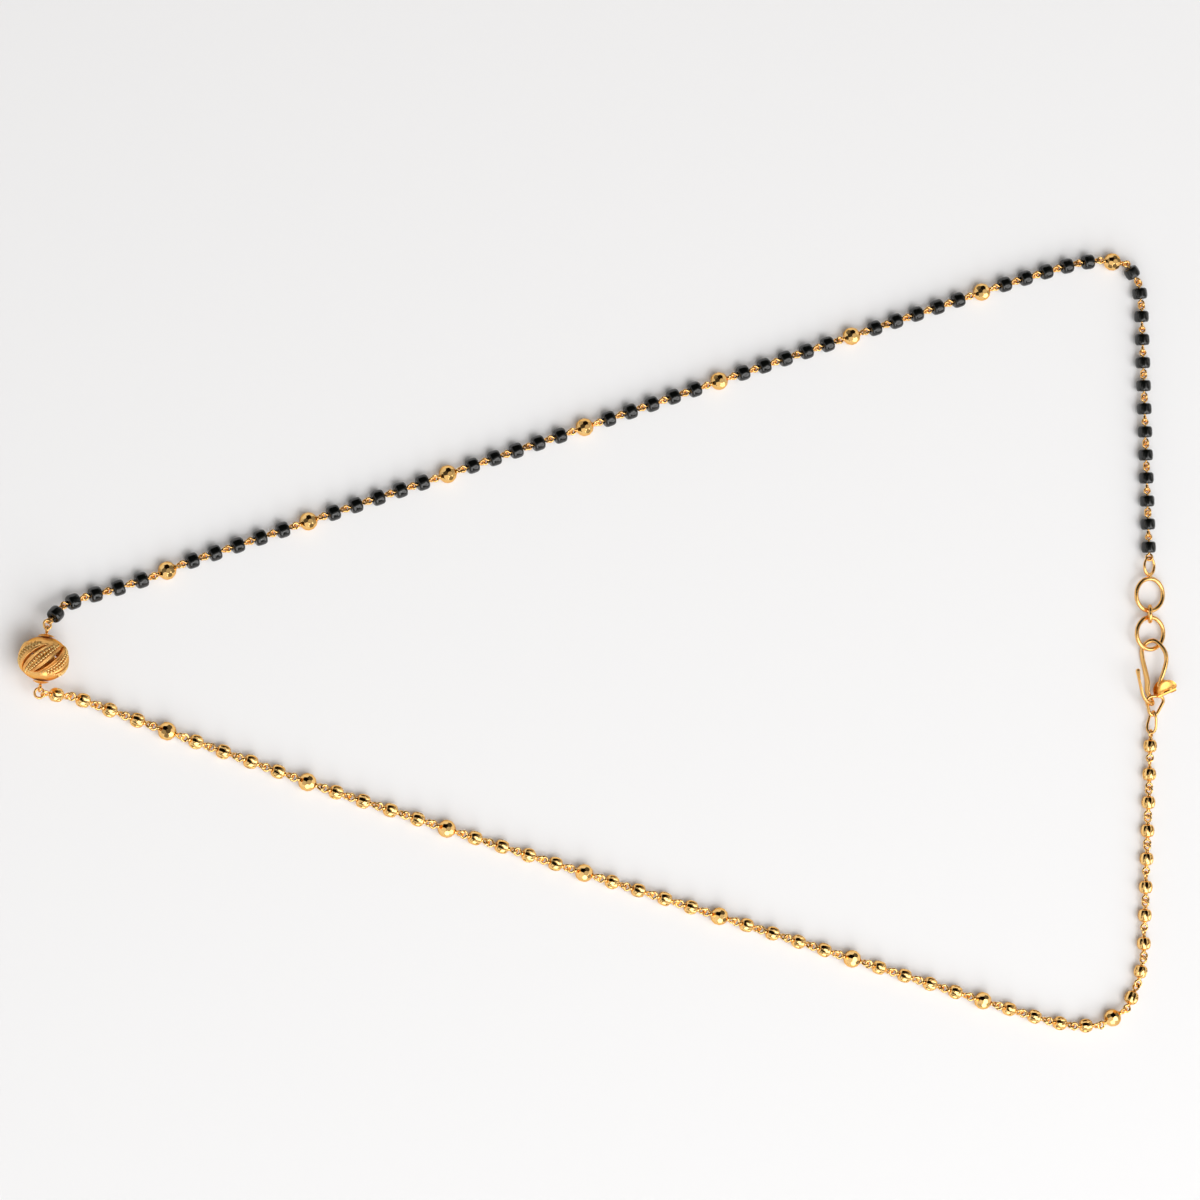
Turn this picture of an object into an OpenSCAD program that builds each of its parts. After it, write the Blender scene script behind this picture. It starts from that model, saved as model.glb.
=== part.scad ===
// Mangalsutra: a necklace of black glass beads and gold balls on wire links,
// with one pierced gold ball, two extension rings and an S-hook clasp.
// It lies flat and closed on a surface. Millimetres, +Z up, floor at Z = 0.

/* [Black beads] */
// Diameter of a black glass bead
bead_d = 2.5; // [2.3:0.05:2.6]
// Length of a black glass bead along its bore
bead_len = 1.9; // [1.7:0.05:2.1]
// Diameter of the bore through a black bead
bead_bore = 0.9; // [0.85:0.05:1.0]
// Clear length between two bodies on the black side
bead_gap = 1.97; // [1.95:0.01:2]

/* [Gold balls] */
// Diameter of a faceted gold ball
faceted_d = 2.9; // [2.7:0.05:3.1]
// Diameter of a ribbed gold ball
ribbed_d = 2.3; // [2.1:0.05:2.4]
// Number of ribs round a ribbed ball
ribs = 12; // [10:1:14]
// Clear length between two bodies on the gold side
gold_gap = 2.44; // [2.43:0.01:2.47]

/* [Wire] */
// Wire of the eyes on the black side
bead_wire = 0.3; // [0.26:0.01:0.32]
// Wire of the eyes on the gold side
gold_wire = 0.32; // [0.28:0.01:0.34]
// Clear space between two links that hang in each other
play = 0.11; // [0.11:0.01:0.13]

/* [Pierced ball] */
// Diameter of the pierced ball round its waist
ball_d = 8.0; // [7.6:0.1:8.4]
// Length of the pierced ball along its axis, without the caps
ball_len = 7.0; // [6.6:0.1:7.4]
// Wall of the hollow ball
ball_wall = 0.5; // [0.4:0.05:0.6]
// Number of slots round the ball
slots = 6; // [5:1:7]

/* [Clasp] */
// Diameter of an extension ring at its wire's centre
ring_d = 5.4; // [5.2:0.1:5.6]
// Wire of the extension rings
ring_wire = 0.65; // [0.55:0.05:0.7]
// Diameter of the small ring between them at its wire's centre
connector_d = 2.5; // [2.4:0.1:2.6]
// Wire of the small rings
connector_wire = 0.55; // [0.5:0.05:0.55]
// Wire of the S-hook
hook_wire = 0.72; // [0.65:0.01:0.75]
// Length of the clasp from the second extension ring's wire to the end ring's point
hook_len = 11; // [10.9:0.05:11.1]
// Diameter of the folded tag
tag_d = 3.8; // [3.6:0.1:4]

/* [Hidden] */
$fn = 48;
gold = [0.93, 0.70, 0.28];
satin_gold = [0.86, 0.66, 0.32];
glass_black = [0.05, 0.05, 0.06];

// Counts read off the photograph
groups = 8;
beads_per_group = 5;
ribbed_per_group = 4;
last_beads = 13;
last_ribbed = 10;

black_row = [
    for (g = [1:groups]) each [for (i = [0:beads_per_group]) i < beads_per_group ? "bead" : "faceted"],
    for (i = [1:last_beads]) "bead"
];
gold_row = [
    for (g = [1:groups]) each [for (i = [0:ribbed_per_group]) i < ribbed_per_group ? "ribbed" : "faceted"],
    for (i = [1:last_ribbed]) "ribbed"
];

// Heading of each stretch as it lies, in degrees from +X: [units, heading]
black_headings = [
    [1, 44], [1, 20], [1, 14], [2, 18], [1, 23], [12, 18.6], [12, 18.8], [12, 18.6], [2, 17],
    [1, 17], [1, 14], [1, 8], [1, -6], [1, -56], [1, -83], [11, -88]
];
gold_headings = [
    [1, -6], [1, -19], [3, -20.3], [5, -20], [5, -18.4], [20, -17.9], [2, -17], [1, -12], [1, 1],
    [1, 30], [1, 62], [1, 79], [1, 88], [7, 88]
];
// Body heights of the first units, which hang down from the pierced ball
black_lift = [3.3, 2.1];
gold_lift = [3.4, 2.2, 1.43];

// Radii of the eyes at the wire's centre, and how far they reach into each other
bead_eye_r = 0.45;
gold_eye_r = 0.55;
bead_step = 2 * bead_eye_r - bead_wire - play;
gold_step = 2 * gold_eye_r - gold_wire - play;
bead_reach = (bead_gap - bead_step) / 2;
gold_reach = (gold_gap - gold_step) / 2;

function body_len(kind) = kind == "bead" ? bead_len : kind == "faceted" ? faceted_d : ribbed_d;
// A glass bead slides down until it touches the floor, so its wire runs above its axis
wire_z = faceted_d / 2;
function rest_z(kind) = kind == "ribbed" ? ribbed_d / 2 + 0.07 : wire_z;
function spread(table) = [for (row = table) each [for (i = [1:row[0]]) row[1]]];
function heights(row, lift) = [for (i = [0:len(row) - 1]) i < len(lift) ? lift[i] : rest_z(row[i])];

// How much two rings overlap, from one wire's centre to the other's
function overlap(wire_a, wire_b) = (wire_a + wire_b) / 2 + play;

function direction(heading, rise) =
    [sqrt(1 - rise * rise) * cos(heading), sqrt(1 - rise * rise) * sin(heading), rise];

// Rise of each unit per millimetre, which brings its body to its own height
function rise_of(i, lens, zs, step, z) = i < len(lens) ? (zs[i] - z) / (step + lens[i] / 2) : 0;
function rises(lens, zs, step, start_z) = [
    for (
        i = 0, z = start_z, r = rise_of(0, lens, zs, 0, start_z);
        i < len(lens);
        z = z + ((i == 0 ? 0 : step) + lens[i]) * r,
        i = i + 1,
        r = rise_of(i, lens, zs, step, z)
    ) r
];

// Eye centres of each unit, walked from its start: [near eye, far eye]
function walk(lens, headings, slopes, start, first_step, step) = [
    for (
        i = 0,
        near = start + first_step * direction(headings[0], 0),
        far = near + lens[0] * direction(headings[0], slopes[0]);
        i < len(lens);
        near = far + step * direction(headings[i], i + 1 < len(lens) ? slopes[i + 1] : 0),
        i = i + 1,
        far = near + (i < len(lens) ? lens[i] * direction(headings[i], slopes[i]) : [0, 0, 0])
    ) [near, far]
];

// The pierced ball and the two small links that hang on it
ball_z = ball_d / 2;
ball_at = [-94.5, -2.1, ball_z];
ball_heading = 83;
ball_eye_r = 0.45;
ball_wire = 0.32;
cap_h = 0.3;
cap_r = 1.05;
ball_eye_at = ball_len / 2 + cap_h + 2 * play + ball_eye_r + ball_wire / 2;
link_r = 0.5;
link_straight = 0.4;
link_wire = 0.3;
link_heading = 97;
drop_ring_r = 0.75;
drop_ring_wire = 0.3;
ball_axis = direction(ball_heading, 0);
link_start = ball_at + (ball_eye_at + ball_eye_r + link_r - overlap(ball_wire, link_wire)) * ball_axis;
link_end = link_start + link_straight * direction(link_heading, 0);
drop_ring_at = ball_at
    - (ball_eye_at + ball_eye_r + drop_ring_r - overlap(ball_wire, drop_ring_wire)) * ball_axis;

black_lens = [for (k = black_row) body_len(k) + 2 * bead_reach];
gold_lens = [for (k = gold_row) body_len(k) + 2 * gold_reach];
black_first = link_r + bead_eye_r - overlap(link_wire, bead_wire);
gold_first = drop_ring_r + gold_eye_r - overlap(drop_ring_wire, gold_wire);
black_rises = rises(black_lens, heights(black_row, black_lift), bead_step, ball_z);
gold_rises = rises(gold_lens, heights(gold_row, gold_lift), gold_step, ball_z);
black_turns = spread(black_headings);
gold_turns = spread(gold_headings);

// The clasp's pieces in a row, from the last black eye to the last gold eye
end_loop_r = 1.45;
end_loop_wire = 0.42;
last_bead_eye_r = 0.52;
last_roll = 65;
last_gold_eye_r = 0.62;
solder = 0.64;
solder_d = 0.36;
ring_roll = -12;
end_loop_roll = -33;
connector_roll = 110;
ring_r = ring_d / 2;
connector_r = connector_d / 2;
end_link_len = 3.6;
end_link_wire = 0.4;
end_ring_wire = 0.5;
clasp_heading = -89.3;
end_loop_s = last_bead_eye_r + end_loop_r - overlap(bead_wire, end_loop_wire);
ring_1_s = end_loop_s + end_loop_r + ring_r + solder;
connector_s = ring_1_s + ring_r + connector_r - overlap(ring_wire, connector_wire);
ring_2_s = connector_s + ring_r + connector_r - overlap(ring_wire, connector_wire);
hook_s = ring_2_s + ring_r;
end_ring_s = hook_s + hook_len;
end_link_s = end_ring_s - overlap(end_ring_wire, end_link_wire);
clasp_len = end_link_s + end_link_len + last_gold_eye_r - overlap(end_link_wire, gold_wire);

// The loop closes where the black row, the clasp and the gold row meet
function flat(p) = [p[0], p[1], 0];
function heading_of(v) = atan2(v[1], v[0]);
function last_eye(eyes) = eyes[len(eyes) - 1][1];
black_try = walk(black_lens, black_turns, black_rises, link_end, black_first, bead_step);
gold_try = walk(gold_lens, gold_turns, gold_rises, drop_ring_at, gold_first, gold_step);
black_chord = flat(last_eye(black_try) - link_end);
gold_chord = flat(last_eye(gold_try) - drop_ring_at);
gold_pivot = drop_ring_at - clasp_len * direction(clasp_heading, 0);
pivots = flat(gold_pivot - link_end);
along = (norm(black_chord) ^ 2 - norm(gold_chord) ^ 2 + norm(pivots) ^ 2) / (2 * norm(pivots));
across = sqrt(norm(black_chord) ^ 2 - along ^ 2);
closing = heading_of(pivots) - atan2(across, along);
black_turn = closing - heading_of(black_chord);
meeting = flat(link_end) + norm(black_chord) * direction(closing, 0);
gold_turn = heading_of(meeting - flat(gold_pivot)) - heading_of(gold_chord);
black_course = [for (h = black_turns) h + black_turn];
gold_course = [for (h = gold_turns) h + gold_turn];
black_eyes = walk(black_lens, black_course, black_rises, link_end, black_first, bead_step);
gold_eyes = walk(gold_lens, gold_course, gold_rises, drop_ring_at, gold_first, gold_step);
clasp_at = last_eye(black_eyes);

// Places a child made along +X between two points, its flat side up
module between(a, b) {
    v = b - a;
    translate(a) rotate([0, -asin(v[2] / norm(v)), heading_of(v)]) children();
}

// Places a child lying in the clasp's row: s along it, z up, roll about it
module in_clasp(s, z, roll) {
    translate(clasp_point(s, 0, z)) rotate([0, 0, clasp_heading]) rotate([roll, 0, 0]) children();
}

function clasp_point(s, side, z) =
    flat(clasp_at + s * direction(clasp_heading, 0) + side * direction(clasp_heading + 90, 0)) + [0, 0, z];

// A round wire ring about the Z axis
module wire_ring(r, wire) rotate_extrude() translate([r, 0]) circle(d = wire);

// A straight wire along +X, its ends inside the rings that it joins
module wire_along(x1, x2, wire)
    translate([x1, 0, 0]) rotate([0, 90, 0]) cylinder(d = wire - 0.02, h = x2 - x1);

// Eye, wire and eye: the near eye lies flat and the far eye stands up
module eyes_and_wire(len, eye_r, wire, near_roll, far_r, far_roll) {
    rotate([near_roll, 0, 0]) wire_ring(eye_r, wire);
    wire_along(eye_r, len - far_r, wire);
    translate([len, 0, 0]) rotate([far_roll, 0, 0]) wire_ring(far_r, wire);
}

// Glass bead with rounded rims, lying a little below its wire
module glass_bead() {
    rim = 0.45;
    rotate([0, 90, 0]) rotate_extrude() difference() {
        union() {
            for (z = [-1, 1]) translate([bead_d / 2 - rim, z * (bead_len / 2 - rim)]) circle(rim);
            translate([0, -bead_len / 2]) square([bead_d / 2 - rim, bead_len]);
            translate([0, -bead_len / 2 + rim]) square([bead_d / 2, bead_len - 2 * rim]);
        }
        translate([-bead_d, -bead_len]) square([bead_d + bead_bore / 2, 2 * bead_len]);
        translate([-bead_d, -bead_len]) square([bead_d, 2 * bead_len]);
    }
}

// Barrel with a belt of flat cuts round its bore axis
module ribbed_ball() {
    belt = 1.14;
    r = ribbed_d / 2;
    corners = [for (i = [0:ribs - 1]) r * [cos(360 * i / ribs), sin(360 * i / ribs)]];
    rotate([0, 90, 0]) intersection() {
        sphere(r = norm([r * cos(180 / ribs), belt / 2]));
        translate([0, 0, -r]) linear_extrude(ribbed_d) polygon(corners);
    }
}

// Rows of flat facets on a cut ball: [latitude, first longitude, step, slabs]
facet_rows = [[0, 0, 30, 6], [28, 15, 30, 12], [56, 0, 45, 8], [90, 0, 0, 1]];
facet_depth = 0.97;

// Cut ball: each slab gives two opposite facets
module faceted_ball() {
    facets = [for (row = facet_rows) for (i = [0:row[3] - 1]) [row[0], row[1] + row[2] * i]];
    thick = faceted_d * facet_depth;
    rotate([0, 90, 0]) intersection_for (f = facets)
        rotate([0, 90 - f[0], f[1]])
            translate([-faceted_d, -faceted_d, -thick / 2]) cube([2 * faceted_d, 2 * faceted_d, thick]);
}

// The four kinds of unit, each in the frame of its near eye
module faceted_unit(reach, eye_r, wire) {
    eyes_and_wire(faceted_d + 2 * reach, eye_r, wire, 0, eye_r, 90);
    translate([reach + faceted_d / 2, 0, 0]) faceted_ball();
}

module ribbed_unit(near_roll, far_r) {
    eyes_and_wire(ribbed_d + 2 * gold_reach, gold_eye_r, gold_wire, near_roll, far_r, 90);
    translate([gold_reach + ribbed_d / 2, 0, 0]) ribbed_ball();
}

// Only the first unit of a row stands its near eye up, in a small link
function near_roll(i) = i == 0 ? 90 : 0;
function is_last(i, row) = i == len(row) - 1;

module black_beads() color(glass_black)
    for (i = [0:len(black_row) - 1]) if (black_row[i] == "bead") {
        middle = (black_eyes[i][0] + black_eyes[i][1]) / 2;
        sag = [0, 0, bead_d / 2 - wire_z + 0.055];
        between(middle + sag, black_eyes[i][1] + sag) glass_bead();
    }

module black_bead_pins() color(gold)
    for (i = [0:len(black_row) - 1]) if (black_row[i] == "bead")
        between(black_eyes[i][0], black_eyes[i][1])
            if (is_last(i, black_row))
                eyes_and_wire(black_lens[i], bead_eye_r, bead_wire, 0, last_bead_eye_r, last_roll);
            else
                eyes_and_wire(black_lens[i], bead_eye_r, bead_wire, near_roll(i), bead_eye_r, 90);

module ribbed_balls() color(gold)
    for (i = [0:len(gold_row) - 1]) if (gold_row[i] == "ribbed")
        between(gold_eyes[i][0], gold_eyes[i][1])
            ribbed_unit(near_roll(i), is_last(i, gold_row) ? last_gold_eye_r : gold_eye_r);

black_faceted = [for (i = [0:len(black_row) - 1]) if (black_row[i] == "faceted") i];
gold_faceted = [for (i = [0:len(gold_row) - 1]) if (gold_row[i] == "faceted") i];
module faceted_ball_node(n) color(gold)
    if (n <= groups)
        between(black_eyes[black_faceted[n - 1]][0], black_eyes[black_faceted[n - 1]][1])
            faceted_unit(bead_reach, bead_eye_r, bead_wire);
    else
        between(gold_eyes[gold_faceted[n - groups - 1]][0], gold_eyes[gold_faceted[n - groups - 1]][1])
            faceted_unit(gold_reach, gold_eye_r, gold_wire);

// Grid of the pierced ball: columns go round it, rows go from end to end
sector_cols = [0, 10.5, 17, 22.5, 28.7, 35.2, 41.5, 47.7, 53.3];
ball_cols = len(sector_cols) * slots;
slot_rows = 28;
end_rows = 5;
ball_rows = slot_rows + 2 * end_rows;
slot_slant = 50;
slot_reach = 56;
slot_lat = asin(sin(slot_reach) * sin(slot_slant));
end_lat = 84;
pin_hole_r = 0.36;

function row_lat(j) =
    j < end_rows ? -end_lat + (end_lat - slot_lat) * j / end_rows
    : j > ball_rows - end_rows ? end_lat - (end_lat - slot_lat) * (ball_rows - j) / end_rows
    : asin(sin(slot_reach * (2 * (j - end_rows) / slot_rows - 1)) * sin(slot_slant));
// A slot leans to the waist along a great circle
function lean(lat) = asin(tan(min(max(lat, -slot_lat), slot_lat)) / tan(slot_slant));
function col_lon(i) =
    sector_cols[i % len(sector_cols)] * 6 / slots + floor(i / len(sector_cols)) * 360 / slots;
function in_slot_rows(j) = j >= end_rows && j < ball_rows - end_rows;
function is_open(i, j) = i % len(sector_cols) == 0 && in_slot_rows(j);
// Two rows of granules stand up beside each slot's smooth border
function is_granule(i, j) =
    let (c = i % len(sector_cols)) (c == 4 || c == 6) && (j - end_rows) % 2 == 1
    && j > end_rows && j < ball_rows - end_rows;
function ball_point(i, j, r_waist, r_end, bump) =
    let (lat = row_lat(j), lon = col_lon(i) + lean(lat), k = 1 + bump)
    [k * r_waist * cos(lat) * cos(lon), k * r_waist * cos(lat) * sin(lon), k * r_end * sin(lat)];

module ball_shell() {
    cols = ball_cols;
    rows = ball_rows + 1;
    outer = [for (j = [0:ball_rows]) for (i = [0:cols - 1])
        ball_point(i, j, ball_d / 2 - 0.06, ball_len / 2, is_granule(i, j) ? 0.03 : 0)];
    inner = [for (j = [0:ball_rows]) for (i = [0:cols - 1])
        ball_point(i, j, ball_d / 2 - ball_wall, ball_len / 2 - ball_wall, 0)];
    m = cols * rows;
    function at(i, j) = j * cols + (i + cols) % cols;
    skin = [for (j = [0:ball_rows - 1]) for (i = [0:cols - 1]) if (!is_open(i, j)) each [
        [at(i, j), at(i, j + 1), at(i + 1, j + 1)], [at(i, j), at(i + 1, j + 1), at(i + 1, j)],
        [m + at(i, j), m + at(i + 1, j + 1), m + at(i, j + 1)],
        [m + at(i, j), m + at(i + 1, j), m + at(i + 1, j + 1)]
    ]];
    side_walls = [for (j = [0:ball_rows - 1]) for (i = [0:cols - 1]) if (is_open(i, j)) each [
        [at(i, j), m + at(i, j + 1), m + at(i, j)], [at(i, j), at(i, j + 1), m + at(i, j + 1)],
        [at(i + 1, j), m + at(i + 1, j), m + at(i + 1, j + 1)],
        [at(i + 1, j), m + at(i + 1, j + 1), at(i + 1, j + 1)]
    ]];
    low = end_rows;
    high = ball_rows - end_rows;
    end_walls = [for (i = [0:cols - 1]) if (is_open(i, low)) each [
        [at(i, low), m + at(i + 1, low), at(i + 1, low)], [at(i, low), m + at(i, low), m + at(i + 1, low)],
        [at(i, high), at(i + 1, high), m + at(i + 1, high)],
        [at(i, high), m + at(i + 1, high), m + at(i, high)]
    ]];
    rims = [for (i = [0:cols - 1]) each [
        [at(i, 0), at(i + 1, 0), m + at(i + 1, 0)], [at(i, 0), m + at(i + 1, 0), m + at(i, 0)],
        [at(i, rows - 1), m + at(i + 1, rows - 1), at(i + 1, rows - 1)],
        [at(i, rows - 1), m + at(i, rows - 1), m + at(i + 1, rows - 1)]
    ]];
    polyhedron(points = concat(outer, inner), faces = concat(skin, side_walls, end_walls, rims));
}

// Places a child whose axis is Z on the pierced ball's axis
module on_ball_axis() translate(ball_at) rotate([0, 0, ball_heading]) rotate([0, 90, 0]) children();

module pierced_ball() color(satin_gold) on_ball_axis() ball_shell();

// Low domed cap over each end, with a hole for the pin
module ball_cap(side) {
    curve = 2.4;
    seat = ball_len / 2 + play;
    color(gold) on_ball_axis() mirror([0, 0, side < 0 ? 1 : 0]) translate([0, 0, seat]) rotate_extrude()
        difference() {
            intersection() {
                translate([0, cap_h - curve]) circle(curve);
                translate([pin_hole_r - 0.06, -0.12]) square([cap_r, cap_h + 1]);
            }
            translate([0, -ball_d / 2 - play / 2]) circle(ball_d / 2 + 0.05);
        }
}

module ball_pin() color(gold) on_ball_axis() {
    for (side = [-1, 1])
        translate([0, 0, side * ball_eye_at]) rotate([90, 0, 0]) wire_ring(ball_eye_r, ball_wire);
    reach = ball_eye_at - ball_eye_r;
    translate([0, 0, -reach]) cylinder(d = ball_wire - 0.02, h = 2 * reach);
}

// Oval link: two half rings and two straight wires
module oval_link(r, straight, wire) {
    for (side = [0, 1]) mirror([side, 0, 0]) translate([straight / 2, 0, 0])
        rotate([0, 0, -90]) rotate_extrude(angle = 180) translate([r, 0]) circle(d = wire);
    for (y = [-r, r]) translate([-straight / 2, y, 0]) rotate([0, 90, 0]) cylinder(d = wire, h = straight);
}

module ball_link() color(gold)
    translate((link_start + link_end) / 2) rotate([0, 0, link_heading])
        oval_link(link_r, link_straight, link_wire);

module ball_ring() color(gold) translate(drop_ring_at) wire_ring(drop_ring_r, drop_ring_wire);

// The black end: a small ring soldered to the first extension ring
module extension_ring_1() color(gold) {
    in_clasp(ring_1_s, wire_z, ring_roll) wire_ring(ring_r, ring_wire);
    in_clasp(end_loop_s, wire_z, end_loop_roll) wire_ring(end_loop_r, end_loop_wire);
    in_clasp(ring_1_s - ring_r - solder, wire_z, 0) rotate([0, 90, 0]) cylinder(d = solder_d, h = solder);
}

module ring_connector() color(gold)
    in_clasp(connector_s, wire_z, connector_roll) wire_ring(connector_r, connector_wire);

// The second extension ring, with the swelling where its wire was soldered
module extension_ring_2() color(gold) in_clasp(ring_2_s, wire_z, ring_roll) {
    wire_ring(ring_r, ring_wire);
    rotate([0, 0, -85]) translate([ring_r, 0, 0]) sphere(d = ring_wire + 0.12);
}

// Smooth curve through the rows of a table, with steps points to each row
function curve_point(t, i, u) =
    let (p = t[max(i - 1, 0)], q = t[i], r = t[i + 1], s = t[min(i + 2, len(t) - 1)])
    0.5 * (2 * q + (r - p) * u + (2 * p - 5 * q + 4 * r - s) * u ^ 2 + (3 * q - p - 3 * r + s) * u ^ 3);
function smooth(t, steps) = [
    for (i = [0:len(t) - 2]) for (k = [0:steps - 1]) curve_point(t, i, k / steps),
    t[len(t) - 1]
];
function unit(v) = v / norm(v);
function place(row) = [row[0], row[1], row[2]];
function tangent(t, i) = unit(place(t[min(i + 1, len(t) - 1)]) - place(t[max(i - 1, 0)]));
// Side directions carried along the curve, so that the wire doesn't twist
function sides(t, first) = [
    for (
        i = 0, n = unit(first - (first * tangent(t, 0)) * tangent(t, 0));
        i < len(t);
        i = i + 1,
        n = i < len(t) ? unit(n - (n * tangent(t, i)) * tangent(t, i)) : n
    ) n
];

// Wire swept along rows of [x, y, z, width, thickness], with flat ends
module swept_wire(t, first_side, around) {
    side = sides(t, first_side);
    points = [for (i = [0:len(t) - 1]) for (k = [0:around - 1])
        let (a = 360 * k / around, up = cross(tangent(t, i), side[i]))
        place(t[i]) + t[i][3] / 2 * cos(a) * side[i] + t[i][4] / 2 * sin(a) * up];
    last = (len(t) - 1) * around;
    walls = [for (i = [0:len(t) - 2]) for (k = [0:around - 1])
        let (a = i * around + k, b = i * around + (k + 1) % around)
        each [[a, a + around, b + around], [a, b + around, b]]];
    ends = [[for (k = [0:around - 1]) k], [for (k = [around - 1:-1:0]) last + k]];
    polyhedron(points = points, faces = concat(walls, ends));
}

// Closed wire of even thickness swept round rows of [x, y, z]
module swept_loop(t, wire, around) {
    n = len(t);
    function ahead(i) = unit(t[(i + 1) % n] - t[(i + n - 1) % n]);
    middle = [for (k = [0:2]) [for (p = t) p[k]] * [for (p = t) 1 / n]];
    points = [for (i = [0:n - 1]) for (k = [0:around - 1])
        let (a = 360 * k / around, f = ahead(i), out = t[i] - middle, side = unit(out - (out * f) * f))
        t[i] + wire / 2 * (cos(a) * side + sin(a) * cross(f, side))];
    polyhedron(points = points, faces = [for (i = [0:n - 1]) for (k = [0:around - 1])
        let (a = i * around + k, b = i * around + (k + 1) % around,
            c = (i + 1) % n * around + k, d = (i + 1) % n * around + (k + 1) % around)
        each [[a, c, d], [a, d, b]]]);
}

// The S-hook's wire, from its raised tip to its inner end, chosen by eye from the photograph.
// Shares of the clasp's length in percent, height in millimetres, and shares of its wire:
// [along, right, height, width, thickness]
hook_course = [
    [32, -28, 3.3, 1.05, 1.1], [45, -25, 3.3, 0.6, 1.1], [58, -20, 3.15, 0.6, 1.25],
    [70, -12, 2.85, 0.7, 1.15], [78, -3, 2.4, 0.9, 1.05], [81, 3, 1.5, 0.95, 0.95],
    [75, 4, 0.72, 1.1, 0.85], [64, 2, 0.46, 1.25, 0.7], [49, 1, 0.48, 1.4, 0.7],
    [33, -4, 0.48, 1.4, 0.7], [14, -9, 0.5, 1.25, 0.72], [-1, -10, 0.65, 1.05, 0.85],
    [-11, -3, 1.1, 1, 1], [-13, 6, 1.7, 1, 1], [-5, 15, 2.25, 1, 1],
    [6, 21, 2.5, 1, 1], [19, 22, 2.5, 1, 1], [34, 18, 2.4, 1, 1],
    [46, 14, 2.2, 0.95, 1], [56, 11, 2, 0.85, 0.9]
];
function on_hook(row) = [
    hook_len * row[0] / 100, hook_len * row[1] / 100, row[2], hook_wire * row[3], hook_wire * row[4]
];
module s_hook() color(gold) in_clasp(hook_s, 0, 0)
    swept_wire([for (row = smooth(hook_course, 3)) on_hook(row)], [0, 1, 0], 8);

// The end ring is a rounded triangle: its corners' centres, [right, up], and their radius
end_ring_corners = [[0.65, 0], [-0.65, 0], [-0.44, -1.45]];
corner_r = 0.85;
end_ring_h = -end_ring_corners[2][1];
end_ring_turn = 6;
end_ring_side = 0.72;
end_ring_z = 1.55;
function corner(k) = end_ring_corners[(k + 3) % 3];
function side_normal(k) = heading_of(corner(k + 1) - corner(k)) - 90;
end_ring_course = [
    for (k = [0:2]) for (i = [0:4])
        let (a = side_normal(k - 1), b = side_normal(k), turn = (b - a + 720) % 360, c = a + turn * i / 4)
        [-corner(k)[1] - corner_r * sin(c), corner(k)[0] + corner_r * cos(c), 0]
];

// Places a child in the end ring's frame, with its straight side along +Y
module at_end_ring() in_clasp(end_ring_s - end_ring_h - corner_r, end_ring_z, 0)
    translate([0, end_ring_side, 0]) rotate([0, 0, end_ring_turn]) children();

module end_ring() color(gold) at_end_ring() swept_loop(end_ring_course, end_ring_wire, 8);

// Twisted oval link from the end ring's point to the last gold eye
module gold_end_link() {
    half = 0.74;
    seat = 0.04;
    steps = 28;
    down = end_ring_h * direction(end_ring_turn, 0) + corner(2)[0] * direction(end_ring_turn + 90, 0);
    far_s = clasp_len - last_gold_eye_r + overlap(end_link_wire, gold_wire);
    near = clasp_point(end_link_s + down[0] - end_ring_h - seat, end_ring_side + down[1], end_ring_z);
    far = clasp_point(far_s, 0, last_eye(gold_eyes)[2]);
    len = norm(far - near);
    function oval(a) = [len / 2 * (1 - sign(cos(a)) * abs(cos(a)) ^ 0.5), half * sin(a)];
    course = [for (k = [0:steps - 1])
        let (p = oval(360 * k / steps), roll = 90 - 85 * p[0] / len)
        [p[0], p[1] * cos(roll), p[1] * sin(roll)]];
    color(gold) between(near, far) swept_loop(course, end_link_wire, 8);
}

// Round tag folded over the end ring, its two leaves gaping
tag_at = 1.85;
tag_pivot = 0.27;
tag_turn = 16;
tag_leaf = 0.2;
fold_in = 0.42;
fold_out = 0.66;
fold_end = 0.9;
fold_len = tag_d - 0.24;
fold_mid = (fold_in + fold_out) / 2;
fold_slot = 0.36;
lower_gape = 1;
upper_gape = 21;
module tag_leaf_shape(up, gape) {
    translate([-0.1, 0, up * fold_mid]) rotate([0, gape, 0])
        translate([0, 0, -tag_leaf / 2]) linear_extrude(tag_leaf) intersection() {
            circle(d = tag_d);
            translate([-tag_d, -tag_d / 2]) square([tag_d, tag_d]);
        }
}
module folded_tag() color(gold) at_end_ring()
    translate([-corner_r, tag_pivot, 0]) rotate([0, 0, tag_turn]) translate([0, tag_at, 0]) {
    difference() {
        translate([0, fold_len / 2, 0]) rotate([90, 0, 0]) cylinder(r = fold_out, h = fold_len);
        translate([0, tag_d / 2 + 1, 0]) rotate([90, 0, 0]) cylinder(r = fold_in, h = tag_d + 2);
        translate([-2 * fold_out, -tag_d, -0.3]) cube([2 * fold_out, 2 * tag_d, 0.6]);
        translate([0, -tag_d, -fold_slot]) cube([2, tag_d * 3 / 2 - fold_end, 2 * fold_slot]);
    }
    tag_leaf_shape(-1, lower_gape);
    tag_leaf_shape(1, upper_gape);
}

FACETED_NAMES = [for (n = [1:2 * groups]) str("faceted_ball_", n < 10 ? "0" : "", n)];

black_beads();
black_bead_pins();
ribbed_balls();
pierced_ball();
ball_cap(1);  // ball_cap_upper
ball_cap(-1);  // ball_cap_lower
ball_pin();
ball_link();
ball_ring();
extension_ring_1();
ring_connector();
extension_ring_2();
s_hook();
end_ring();
gold_end_link();
folded_tag();
for (n = [1:2 * groups]) faceted_ball_node(n);
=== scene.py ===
"""Looks of a mangalsutra: black glass beads and gold balls on wire links, lying closed on a table."""
import math
import random

import bmesh
import bpy
import numpy as np
from mathutils import Matrix, Vector


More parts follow.
